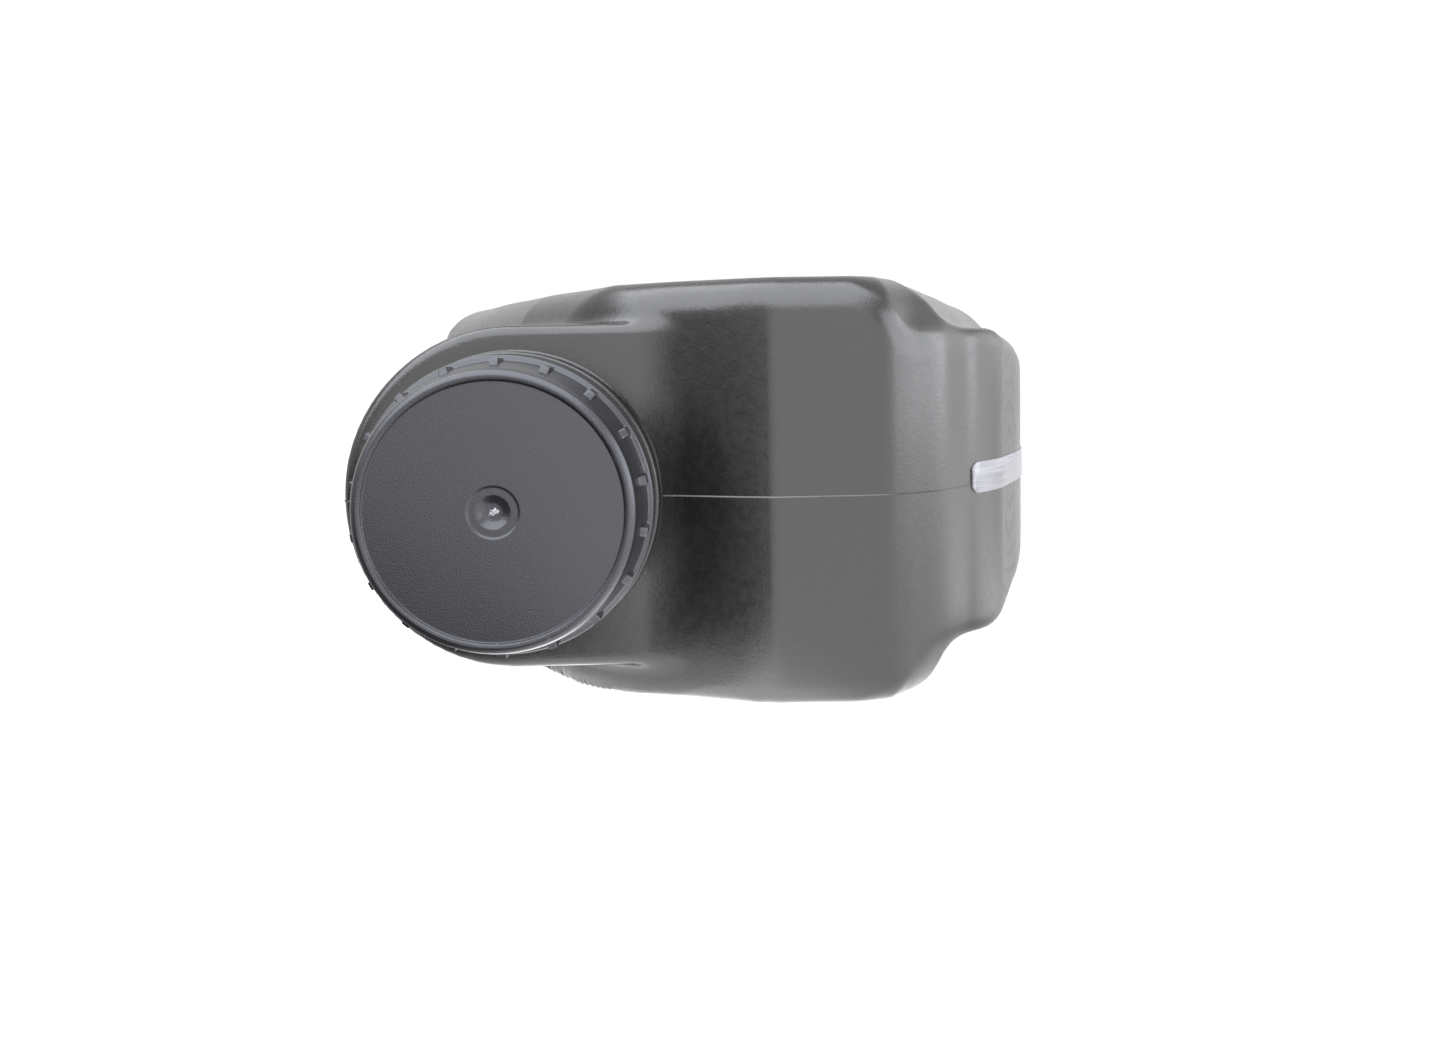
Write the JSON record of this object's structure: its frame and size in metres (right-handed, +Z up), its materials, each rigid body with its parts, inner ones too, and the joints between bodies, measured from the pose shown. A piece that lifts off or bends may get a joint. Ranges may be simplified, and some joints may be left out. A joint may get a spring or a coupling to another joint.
{
  "type": "oil drain pan",
  "caption": "Closed flat blow-moulded oil drain container with a catch basin, plugged inlet with strainer, vent plug, side grip and a wide screw-capped pour neck.",
  "frame": {"origin": "centre of the bounding box's bottom face; the pan lies flat on Z = 0", "axes": "+Z up through the thickness, -Y out of the pour neck, +X towards the carrying grip"},
  "size_m": [0.2581, 0.36, 0.124],
  "materials": {
    "tank_hdpe": "blow-moulded black polyethylene, satin with a fine pebbled grain",
    "cap_pp": "injection-moulded black polypropylene, satin with a fine spark-eroded grain",
    "seal_rubber": "smooth nitrile rubber",
    "liner_foam": "closed-cell polyethylene foam"
  },
  "bodies": {
    "tank": {"tank_shell": "tank_hdpe", "inlet_collar": "cap_pp", "inlet_strainer": "cap_pp", "vent_collar": "cap_pp"},
    "pour_cap_seal": {"pour_cap_liner": "liner_foam"},
    "pour_cap": {"pour_cap": "cap_pp"},
    "inlet_seal": {"inlet_plug_seal": "seal_rubber"},
    "inlet_plug": {"inlet_plug": "cap_pp"},
    "vent_seal": {"vent_plug_seal": "seal_rubber"},
    "vent_plug": {"vent_plug": "cap_pp"}
  },
  "joints": [
    {"name": "pour_cap_lift", "type": "slide", "parent": "tank", "child": "pour_cap_seal", "axis": [0, -1, 0], "range_m": [0, 0.0091]},
    {"name": "pour_cap_turn", "type": "hinge", "parent": "pour_cap_seal", "child": "pour_cap", "pos_m": [-0.0614, -0.152, 0.061], "axis": [0, -1, 0], "range_deg": [0, 540]},
    {"name": "inlet_plug_lift", "type": "slide", "parent": "tank", "child": "inlet_seal", "axis": [0, 0, 1], "range_m": [0, 0.0101]},
    {"name": "inlet_plug_turn", "type": "hinge", "parent": "inlet_seal", "child": "inlet_plug", "pos_m": [-0.024, 0.06, 0.094], "axis": [0, 0, 1], "range_deg": [0, 720]},
    {"name": "vent_plug_lift", "type": "slide", "parent": "tank", "child": "vent_seal", "axis": [0, 0, 1], "range_m": [0, 0.0061]},
    {"name": "vent_plug_turn", "type": "hinge", "parent": "vent_seal", "child": "vent_plug", "pos_m": [0.022, -0.108, 0.109], "axis": [0, 0, 1], "range_deg": [0, 720]}
  ],
  "couplings": [
    {"joint": "pour_cap_lift", "follows": "pour_cap_turn", "m_per_rad": 0.00095493},
    {"joint": "inlet_plug_lift", "follows": "inlet_plug_turn", "m_per_rad": 0.00079577},
    {"joint": "vent_plug_lift", "follows": "vent_plug_turn", "m_per_rad": 0.00047746}
  ]
}
